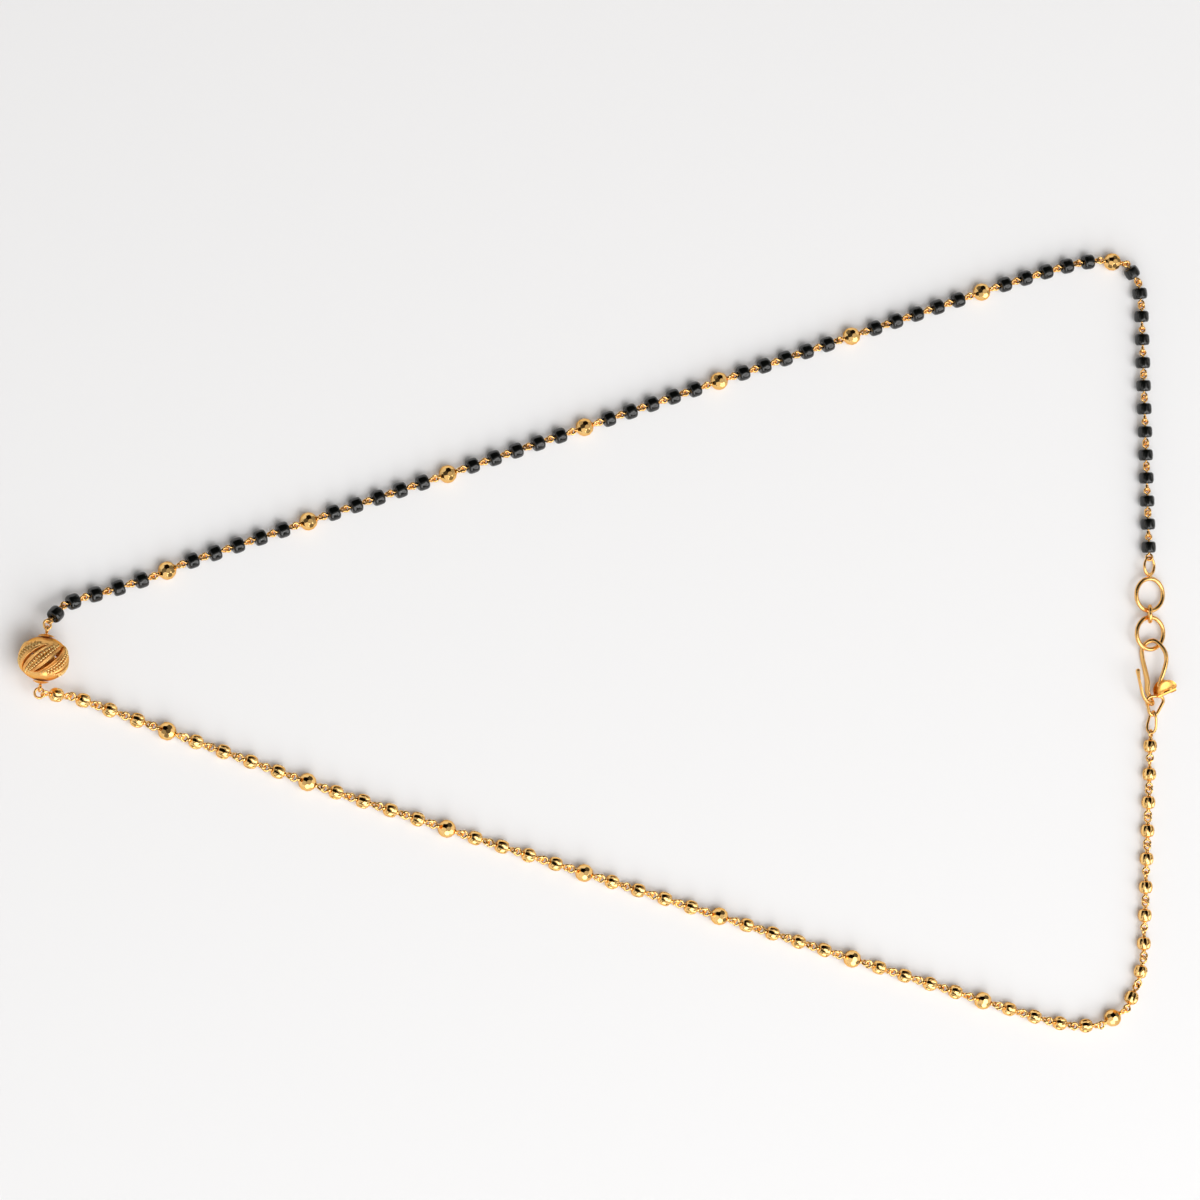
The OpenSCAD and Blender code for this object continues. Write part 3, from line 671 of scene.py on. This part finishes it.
def s_hook():
    """Hook bent from one wire, the arm under it beaten flat."""
    rows = smooth_path(HOOK_COURSE, 10)
    path = [on_clasp(HOOK_LEN * along / 100, HOOK_LEN * right / 100, z)
            for along, right, z, _, _ in rows]
    sizes = [(HOOK_WIRE * wide, HOOK_WIRE * thick) for _, _, _, wide, thick in rows]
    return tube(path, sizes, 20, first=row_right)


# Middles of the end ring's three rounded corners, their radius and their steps
END_RING_CORNERS = ((0.65, 0.0), (-0.65, 0.0), (-0.44, -1.45))
CORNER_R, CORNER_STEPS = 0.85, 12
# How the end ring lies: turned against the row, right of it and above the table
END_RING_TURN, END_RING_SIDE, END_RING_Z = 6, 0.72, 1.55
end_ring_h = -END_RING_CORNERS[2][1]
end_ring_at = on_clasp(HOOK_LEN - end_ring_h - CORNER_R, END_RING_SIDE, END_RING_Z)
end_ring_axes = rolled(CLASP_HEADING + END_RING_TURN, 0)


def in_end_ring(x, y, z=0.0):
    return end_ring_at + end_ring_axes @ np.array([x, y, z])


def end_ring():
    """Rounded triangle of round wire: an arc at each corner, straight between."""
    def on_corner(corner, degrees):
        c = math.radians(degrees)
        return in_end_ring(-corner[1] - CORNER_R * math.sin(c), corner[0] + CORNER_R * math.cos(c))

    course = []
    for k in range(3):
        ends = [np.array(END_RING_CORNERS[(k + j) % 3]) for j in (-1, 0, 1)]
        normals = [math.degrees(math.atan2(*(ends[j + 1] - ends[j])[::-1])) - 90 for j in (0, 1)]
        turn = (normals[1] - normals[0]) % 360
        course += [on_corner(ends[1], normals[0] + turn * i / CORNER_STEPS)
                   for i in range(CORNER_STEPS + 1)]
        start, goal = course[-1], on_corner(ends[2], normals[1])
        course += [start + (goal - start) * t for t in (0.25, 0.5, 0.75)]
    return tube(course, END_RING_WIRE * RING_SWELL, 18, closed=True)


# The end link: how far it sits off the end ring's corner, half its width, the degrees by which it
# stands at its start and turns over its length, and the power that squares its outline
LINK_SEAT, LINK_HALF_WIDTH, LINK_STANDS, LINK_TWIST, LINK_POWER = 0.04, 0.74, 90, 85, 0.5


def gold_end_link():
    """Long link twisted a quarter turn, so that one end stands and the other lies."""
    point = in_end_ring(end_ring_h, END_RING_CORNERS[2][0])
    start = point + (CORNER_R - overlap(END_RING_WIRE, END_LINK_WIRE) - LINK_SEAT) * row
    last = max(gold_units, key=lambda u: u[1][2])[1]
    goal = last[0] - row * (last[2] - overlap(END_LINK_WIRE, GOLD_WIRE))
    axes = frame_along(goal - start)
    length = np.linalg.norm(goal - start)
    course = []
    for a in (2 * math.pi * k / 64 for k in range(64)):
        x = length / 2 * (1 - math.copysign(abs(math.cos(a)) ** LINK_POWER, math.cos(a)))
        y = LINK_HALF_WIDTH * math.sin(a)
        roll = math.radians(LINK_STANDS - LINK_TWIST * x / length)
        course.append(start + axes @ np.array([x, y * math.cos(roll), y * math.sin(roll)]))
    return tube(course, END_LINK_WIRE * END_LINK_SWELL, 16, closed=True)


# The tag's place on the end ring and its turn there
TAG_AT, TAG_PIVOT, TAG_TURN = 1.85, 0.27, 16
# Its fold: radius, length along the fold, what the slit leaves at one end, half the slit's height,
# and the degrees at which it starts, goes on and laps over at the slit
FOLD_R, FOLD_LEN, FOLD_END, FOLD_SLOT = 0.54, TAG_D - 0.24, 0.9, 0.36
FOLD_START, FOLD_STEP, FOLD_LAP = 88, 6, 2
# Its leaves: where they leave the fold, their rows, and half the width that ends them at the rim
LEAF_FROM, LEAF_ROWS, LEAF_TIP, LEAF_REACH = -0.1, 18, 0.05, 0.999
# The lower leaf opens by an angle. The upper one springs up in a short bend and then rises gently
LOWER_GAPE = 1
SPRING_UP, SPRING_BEND, UPPER_RISE = 0.62, 0.3, 0.1
# The upper leaf is dished: depth in the middle, and a raised rim from this share of the radius
DISH_DEPTH, RIM_HEIGHT, RIM_FROM = 0.3, 0.1, 0.85


def in_tag(x, y, z):
    """Point of the tag: x away from its leaves, y along its fold, z up."""
    c, s = math.cos(math.radians(TAG_TURN)), math.sin(math.radians(TAG_TURN))
    y += TAG_AT
    return in_end_ring(x * c - y * s - CORNER_R, TAG_PIVOT + x * s + y * c, z)


def dish(x, y):
    """How far the upper leaf is hollowed at a place: most in the middle, with a raised rim round it."""
    out = min(math.hypot(x - LEAF_FROM, y) / (TAG_D / 2), 1)
    return RIM_HEIGHT * max(0.0, (out - RIM_FROM) / (1 - RIM_FROM)) - DISH_DEPTH * (1 - out ** 2)


def bent_sheet(course, thick, count=24, hollow=None):
    """Sheet metal along a course of rows x, z, low y and high y."""
    points, faces = [], []
    for i, (x, z, low, high) in enumerate(course):
        before, after = course[max(i - 1, 0)], course[min(i + 1, len(course) - 1)]
        t = unit((after[0] - before[0], after[1] - before[1]))
        for side in (1, -1):
            for k in range(count):
                px, pz = x - t[1] * thick / 2 * side, z + t[0] * thick / 2 * side
                y = low + (high - low) * k / (count - 1)
                points.append(in_tag(px, y, pz + (hollow(x, y) if hollow and x < LEAF_FROM else 0)))
    wide = 2 * count
    for i in range(len(course) - 1):
        a, b = i * wide, (i + 1) * wide
        for k in range(count - 1):
            faces.append((a + k, a + k + 1, b + k + 1, b + k))
            faces.append((b + count + k, b + count + k + 1, a + count + k + 1, a + count + k))
        faces.append((a, b, b + count, a + count))
        faces.append((a + wide - 1, b + wide - 1, b + count - 1, a + count - 1))
    for k in range(count - 1):
        end = (len(course) - 1) * wide
        faces.append((k + 1, k, count + k, count + k + 1))
        faces.append((end + k, end + k + 1, end + count + k + 1, end + count + k))
    return np.array(points), faces


def folded_tag():
    """Round tag of sheet gold folded over the end ring, leaves gaping, fold slit for the ring."""
    def on_fold(degrees, low, high):
        a = math.radians(degrees)
        return FOLD_R * math.cos(a), FOLD_R * math.sin(a), low, high

    slit = math.degrees(math.asin(FOLD_SLOT / FOLD_R))
    sheets = []
    for up in (1, -1):
        course = []
        for i in range(LEAF_ROWS + 1):
            reach = TAG_D / 2 * math.sin(math.pi / 2 * (1 - i / LEAF_ROWS)) * LEAF_REACH
            wide = max(math.sqrt((TAG_D / 2) ** 2 - reach ** 2), LEAF_TIP)
            if up > 0:
                rise = SPRING_UP * (1 - math.exp(-reach / SPRING_BEND)) + UPPER_RISE * reach
            else:
                rise = reach * math.tan(math.radians(LOWER_GAPE))
            course.append((LEAF_FROM - reach, up * (FOLD_R + rise), -wide, wide))
        course += [on_fold(up * degrees, -FOLD_LEN / 2, FOLD_LEN / 2)
                   for degrees in np.arange(FOLD_START, slit, -FOLD_STEP)]
        sheets.append(bent_sheet(course, TAG_SHEET, hollow=dish if up > 0 else None))
    crown = np.arange(slit + FOLD_LAP, -slit - FOLD_LAP - 1, -FOLD_STEP)
    sheets.append(bent_sheet([on_fold(degrees, FOLD_LEN / 2 - FOLD_END, FOLD_LEN / 2)
                              for degrees in crown], TAG_SHEET, 6))
    return joined(sheets)


# Materials

def linear(hex_colour):
    """sRGB hex to linear RGBA."""
    parts = [int(hex_colour[i:i + 2], 16) / 255 for i in (1, 3, 5)]
    return tuple(c / 12.92 if c <= 0.04045 else ((c + 0.055) / 1.055) ** 2.4 for c in parts) + (1.0,)


def add_node(tree, kind, inputs=None, **settings):
    """Adds one node with its settings. Each input is a value or another node's output."""
    new = tree.nodes.new("ShaderNode" + kind)
    for name, value in settings.items():
        setattr(new, name, value)
    for name, value in (inputs or {}).items():
        if isinstance(value, bpy.types.NodeSocket):
            tree.links.new(value, new.inputs[name])
        else:
            new.inputs[name].default_value = value
    return new


def new_material(name):
    material = bpy.data.materials.new(name)
    material.use_nodes = True
    tree = material.node_tree
    tree.nodes.clear()
    return material, tree


def blend(tree, share, first, second):
    """Colour that goes from the first to the second as share goes from 0 to 1."""
    mix = add_node(tree, "Mix", data_type="RGBA")
    tree.links.new(share, mix.inputs["Factor"])
    mix.inputs["A"].default_value = linear(first)
    mix.inputs["B"].default_value = linear(second)
    return mix.outputs["Result"]


def per_mm(size_mm):
    """Texture scale whose pattern repeats about every size_mm."""
    return 1 / (size_mm * MM)


# Gold seen along its surface keeps its colour instead of turning white
EDGE_GOLD = "#EEBC7C"


# Sizes in mm of the patterns that every gold has: drifting colour, and places rubbed duller
DRIFT_MM, RUB_MM = 2.5, 0.6


def gold_alloy(name, light, deep, rough, scratches, dents=(0.9, 0.0)):
    """22 carat gold, its colour drifting between two tones and its roughness between two values.

    Scratches and dents are each given by their size and their depth, in mm.
    """
    material, tree = new_material(name)
    place = add_node(tree, "TexCoord").outputs["Object"]
    drift = add_node(tree, "TexNoise", {"Vector": place, "Scale": per_mm(DRIFT_MM), "Detail": 3.0})
    rub = add_node(tree, "TexNoise", {"Vector": place, "Scale": per_mm(RUB_MM), "Detail": 4.0})
    colour = blend(tree, drift.outputs["Fac"], light, deep)
    shine = add_node(tree, "MapRange", {"Value": rub.outputs["Fac"], "From Min": 0.3, "From Max": 0.7,
                                        "To Min": rough[0], "To Max": rough[1]})
    scratch = add_node(tree, "TexNoise", {"Vector": place, "Scale": per_mm(scratches[0]),
                                          "Detail": 6.0, "Roughness": 0.7})
    dent = add_node(tree, "TexNoise", {"Vector": place, "Scale": per_mm(dents[0]), "Detail": 1.0})
    large = add_node(tree, "Bump", {"Height": dent.outputs["Fac"], "Distance": dents[1] * MM,
                                    "Strength": 1.0})
    fine = add_node(tree, "Bump", {"Height": scratch.outputs["Fac"], "Distance": scratches[1] * MM,
                                   "Strength": 1.0, "Normal": large.outputs["Normal"]})
    surface = add_node(tree, "BsdfPrincipled", {
        "Base Color": colour, "Metallic": 1.0, "Roughness": shine.outputs["Result"],
        "Specular Tint": linear(EDGE_GOLD), "Normal": fine.outputs["Normal"]})
    add_node(tree, "OutputMaterial", {"Surface": surface.outputs["BSDF"]})
    return material


# 22 carat gold cut with a polished tool: mirror facets, warm yellow, hardly any wear
cut_gold = gold_alloy("diamond_cut_22ct_gold", "#FFD892", "#F9C476", rough=(0.04, 0.10),
                      scratches=(0.2, 0.0006))
# 22 carat gold drawn through a die: bright along the wire, with faint draw marks that soften the shine
drawn_gold = gold_alloy("drawn_22ct_gold_wire", "#FFD28A", "#F4BA6C", rough=(0.14, 0.26),
                        scratches=(0.15, 0.002), dents=(0.7, 0.008))
# 22 carat gold rolled to sheet and bent by hand: soft shine, shallow dents, its colour drifting at
# random to a deeper tone
sheet_gold = gold_alloy("rolled_22ct_gold_sheet", "#FBC673", "#E9A552", rough=(0.2, 0.34),
                        scratches=(0.15, 0.002), dents=(0.8, 0.03))
# 22 carat gold pickled and brushed to satin: a broad pale sheen, no mirror images
satin_gold = gold_alloy("satin_22ct_gold", "#FFD088", "#F9B966", rough=(0.32, 0.42),
                        scratches=(0.12, 0.002), dents=(0.5, 0.003))
# 22 carat gold melted to grains and left matt, its two tones painted paler than the other golds as a
# painted highlight, so that each grain reads as a soft bright dot
grain_gold = gold_alloy("matt_22ct_gold_grains_painted_lighter", "#FFE2A2", "#FFD686", rough=(0.36, 0.48),
                        scratches=(0.12, 0.001))


# Sizes in mm of the glass's uneven skin and of its fine dust, and the skin's depth
SKIN_MM, DUST_MM, SKIN_DEPTH = 1.1, 0.25, 0.05


def pressed_glass():
    """Opaque black glass, fire polished: a wet black whose gloss wavers with the uneven skin."""
    material, tree = new_material("fire_polished_black_glass")
    place = add_node(tree, "TexCoord").outputs["Object"]
    skin = add_node(tree, "TexNoise", {"Vector": place, "Scale": per_mm(SKIN_MM), "Detail": 2.0})
    dust = add_node(tree, "TexNoise", {"Vector": place, "Scale": per_mm(DUST_MM), "Detail": 3.0})
    colour = blend(tree, dust.outputs["Fac"], "#060708", "#0E100D")
    shine = add_node(tree, "MapRange", {"Value": dust.outputs["Fac"], "To Min": 0.04, "To Max": 0.10})
    wave = add_node(tree, "Bump", {"Height": skin.outputs["Fac"], "Distance": SKIN_DEPTH * MM,
                                   "Strength": 0.8})
    surface = add_node(tree, "BsdfPrincipled", {
        "Base Color": colour, "Roughness": shine.outputs["Result"], "IOR": 1.58,
        "Normal": wave.outputs["Normal"]})
    add_node(tree, "OutputMaterial", {"Surface": surface.outputs["BSDF"]})
    return material


def white_table():
    """Matt white board: near white, hardly a grain."""
    material, tree = new_material("matt_white_board")
    surface = add_node(tree, "BsdfPrincipled", {"Base Color": linear("#EAEAEB"), "Roughness": 0.9,
                                                "Specular IOR Level": 0.1})
    add_node(tree, "OutputMaterial", {"Surface": surface.outputs["BSDF"]})
    return material


black_glass = pressed_glass()


# Putting the pieces together

# Degrees between faces above which an edge stays sharp: wire, the ball, flutes and facets
WIRE_EDGE, BALL_EDGE, FLUTE_EDGE, FACET_EDGE = 40, 60, 22, 9


def make_piece(name, shape, material, replaced, sharp_from=WIRE_EDGE):
    """Adds one piece, in metres, in place of the CAD nodes it stands for."""
    points, faces = shape
    mesh = bpy.data.meshes.new(name)
    mesh.from_pydata((points * MM).tolist(), [], faces)
    mesh.validate()
    turned = bmesh.new()
    turned.from_mesh(mesh)
    bmesh.ops.recalc_face_normals(turned, faces=turned.faces[:])
    turned.to_mesh(mesh)
    turned.free()
    mesh.materials.append(material)
    mesh.shade_smooth()
    mesh.set_sharp_from_angle(angle=math.radians(sharp_from))
    piece = bpy.data.objects.new(name, mesh)
    bpy.context.scene.collection.objects.link(piece)
    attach(piece, "root")
    if replaced:
        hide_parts(*replaced)


bead_units = [read_unit(p, BEAD_EYE_R, BEAD_WIRE) for p in loose_solids("black_bead_pins")]
gold_units = [read_unit(p, GOLD_EYE_R, GOLD_WIRE) for p in loose_solids("ribbed_balls")]


def chain_of_black_beads():
    beads, wires = [], []
    centres = [(p.min(0) + p.max(0)) / 2 for p in loose_solids("black_beads")]
    for i, (near, far) in enumerate(bead_units):
        axis, wire_middle = unit(far[0] - near[0]), (near[0] + far[0]) / 2
        centre = min(centres, key=lambda c: np.linalg.norm(c - wire_middle))
        beads.append(placed(glass_bead(i), centre, frame_along(axis)))
        wires += eyes_of(near, far, BEAD_WIRE, BEAD_LEN, i)
    make_piece("black_glass_beads", joined(beads), black_glass, ["black_beads"])
    make_piece("bead_wires", joined(wires), drawn_gold, ["black_bead_pins"])


def spun(axes, turn):
    """The same axes turned about their first one."""
    c, s = math.cos(turn), math.sin(turn)
    return axes @ np.array([[1, 0, 0], [0, c, -s], [0, s, c]])


def chain_of_ribbed_balls():
    shapes = []
    ball = ribbed_ball()
    for i, (near, far) in enumerate(gold_units):
        turn = math.radians(random.Random(SPIN_SEED + i).uniform(0, 360 / RIBS))
        axes = spun(frame_along(unit(far[0] - near[0])), turn)
        shapes.append(placed(ball, (near[0] + far[0]) / 2, axes))
        shapes += eyes_of(near, far, GOLD_WIRE, RIBBED_D, RIBBED_EYE_SEED + i)
        shapes += collars(near, far, RIBBED_D, GOLD_WIRE)
    make_piece("ribbed_gold_balls", joined(shapes), cut_gold, ["ribbed_balls"],
               FLUTE_EDGE)


def faceted_balls():
    """Sixteen balls, half on the black side's thinner wire and half on the gold side's."""
    ball = cut_ball()
    for n in range(1, FACETED_COUNT + 1):
        name = f"faceted_ball_{n:02d}"
        black_side = n <= FACETED_COUNT // 2
        eye_r, wire = (BEAD_EYE_R, BEAD_WIRE) if black_side else (GOLD_EYE_R, GOLD_WIRE)
        near, far = read_unit(loose_solids(name)[0], eye_r, wire)
        shapes = [placed(ball, (near[0] + far[0]) / 2, frame_along(unit(far[0] - near[0])))]
        shapes += eyes_of(near, far, wire, FACETED_D, FACETED_EYE_SEED + n)
        shapes += collars(near, far, FACETED_D, wire)
        make_piece("cut_" + name, joined(shapes), cut_gold, [name], FACET_EDGE)


def swollen(name, by):
    """A CAD node's own shape with its skin moved outward."""
    skin = bmesh.new()
    skin.from_mesh(nodes[name].data)
    bmesh.ops.remove_doubles(skin, verts=skin.verts[:], dist=1e-7)
    bmesh.ops.recalc_face_normals(skin, faces=skin.faces[:])
    skin.normal_update()
    skin.verts.index_update()
    points = np.array([v.co / MM + v.normal * by for v in skin.verts])
    faces = [tuple(v.index for v in f.verts) for f in skin.faces]
    skin.free()
    return points, faces


chain_of_black_beads()
chain_of_ribbed_balls()
faceted_balls()
ball_at = middle("pierced_ball")
make_piece("pierced_gold_ball", placed(pierced_shell(), ball_at, BALL_AXES), satin_gold,
           ["pierced_ball"], BALL_EDGE)
# The grains take the paler gold: a painted highlight on each grain
make_piece("gold_granules", placed(granule_rows(), ball_at, BALL_AXES), grain_gold, [],
           BALL_EDGE)
for piece_name, shape, cad_name in (
        ("soldered_extension_ring", first_extension_ring(), "extension_ring_1"),
        ("small_ring", ring_between(), "ring_connector"),
        ("plain_extension_ring", second_extension_ring(), "extension_ring_2"),
        ("forged_s_hook", s_hook(), "s_hook"),
        ("triangular_end_ring", end_ring(), "end_ring"),
        ("twisted_end_link", gold_end_link(), "gold_end_link")):
    make_piece(piece_name, shape, drawn_gold, [cad_name])
make_piece("tag_of_sheet_gold", folded_tag(), sheet_gold, ["folded_tag"])
# The caps keep their CAD shape
for cad_name in ("ball_cap_upper", "ball_cap_lower"):
    cad_mesh = nodes[cad_name].data
    cad_mesh.materials.clear()
    cad_mesh.materials.append(satin_gold)
for cad_name in ("ball_pin", "ball_link", "ball_ring"):
    make_piece("drawn_" + cad_name, swollen(cad_name, PIN_SKIN), drawn_gold,
               [cad_name])


# Table, lights and camera, in metres

TABLE_HALF = 3.0
table_mesh = bpy.data.meshes.new("table_top")
corners = [(x * TABLE_HALF, y * TABLE_HALF, 0) for x, y in ((-1, -1), (1, -1), (1, 1), (-1, 1))]
table_mesh.from_pydata(corners, [], [(0, 1, 2, 3)])
table_mesh.materials.append(white_table())
table = bpy.data.objects.new("table_top", table_mesh)
bpy.context.scene.collection.objects.link(table)


def soft_box(name, at, size, watts, seen=True):
    """A soft light turned to the necklace. One that isn't seen leaves no image in the gold."""
    data = bpy.data.lights.new(name, "AREA")
    data.shape = "RECTANGLE"
    data.size, data.size_y = size
    data.energy = watts
    light = bpy.data.objects.new(name, data)
    light.location = at
    light.rotation_euler = (-Vector(at)).to_track_quat("-Z", "Y").to_euler()
    light.visible_glossy = seen
    bpy.context.scene.collection.objects.link(light)


soft_box("left_softbox", at=(0.02, -0.67, 0.68), size=(0.5, 1.0), watts=3.3)
soft_box("right_softbox", at=(0.56, -0.37, 0.68), size=(0.5, 1.0), watts=3.3)
soft_box("overhead_fill", at=(0.0, -0.3, 1.5), size=(1.6, 1.6), watts=10.5, seen=False)

# Where the room is dark, and the cosines of the angles from it at which the dark begins and is full
DARK_SIDE, DARK_FROM, DARK_FULL = (-0.22, 0.64, 0.73), 0.5, 0.88
# Brightness of the room's dull and bright patches, and how many there are
PATCH_DULL, PATCH_BRIGHT, PATCH_SCALE = 0.28, 1.25, 2.6


def studio_world():
    """Pale room with a dark patch overhead, where the camera and its stand block the light."""
    world = bpy.data.worlds.new("pale_room")
    world.use_nodes = True
    tree = world.node_tree
    tree.nodes.clear()
    toward = add_node(tree, "TexCoord").outputs["Generated"]
    facing = add_node(tree, "VectorMath", {0: toward, 1: unit(DARK_SIDE)}, operation="DOT_PRODUCT")
    shade = add_node(tree, "MapRange", {"Value": facing.outputs["Value"], "From Min": DARK_FROM,
                                        "From Max": DARK_FULL}, interpolation_type="SMOOTHSTEP")
    colour = blend(tree, shade.outputs["Result"], "#DFDCD8", "#15110E")
    clutter = add_node(tree, "TexNoise", {"Vector": toward, "Scale": PATCH_SCALE, "Detail": 1.0})
    patches = add_node(tree, "MapRange", {
        "Value": clutter.outputs["Fac"], "From Min": 0.42, "From Max": 0.58,
        "To Min": PATCH_DULL, "To Max": PATCH_BRIGHT}, interpolation_type="SMOOTHSTEP")
    light = add_node(tree, "Background", {"Color": colour, "Strength": patches.outputs["Result"]})
    add_node(tree, "OutputWorld", {"Surface": light.outputs["Background"]})
    return world


bpy.context.scene.world = studio_world()
bpy.context.scene.view_settings.view_transform = "Standard"

# The camera looks down, leaning back by the tilt in degrees, at a point near the loop's middle
CAMERA_TILT, CAMERA_DISTANCE, AIM = 17, 0.7873, (-0.0025, 0.00706, 0.0)
LENS_MM, SENSOR_MM, NEAREST = 145.5, 36, 0.01
tilt = math.radians(CAMERA_TILT)
cos_tilt, sin_tilt = math.cos(tilt), math.sin(tilt)
camera_data = bpy.data.cameras.new("camera")
camera_data.sensor_width = SENSOR_MM
camera_data.lens = LENS_MM
camera_data.clip_start = NEAREST
camera = bpy.data.objects.new("camera", camera_data)
camera_at = Vector(AIM) + CAMERA_DISTANCE * Vector((-sin_tilt, 0, cos_tilt))
leaned = Matrix(((cos_tilt, 0, -sin_tilt), (0, 1, 0), (sin_tilt, 0, cos_tilt)))
camera.matrix_world = Matrix.Translation(camera_at) @ leaned.to_4x4()
bpy.context.scene.collection.objects.link(camera)
bpy.context.scene.camera = camera
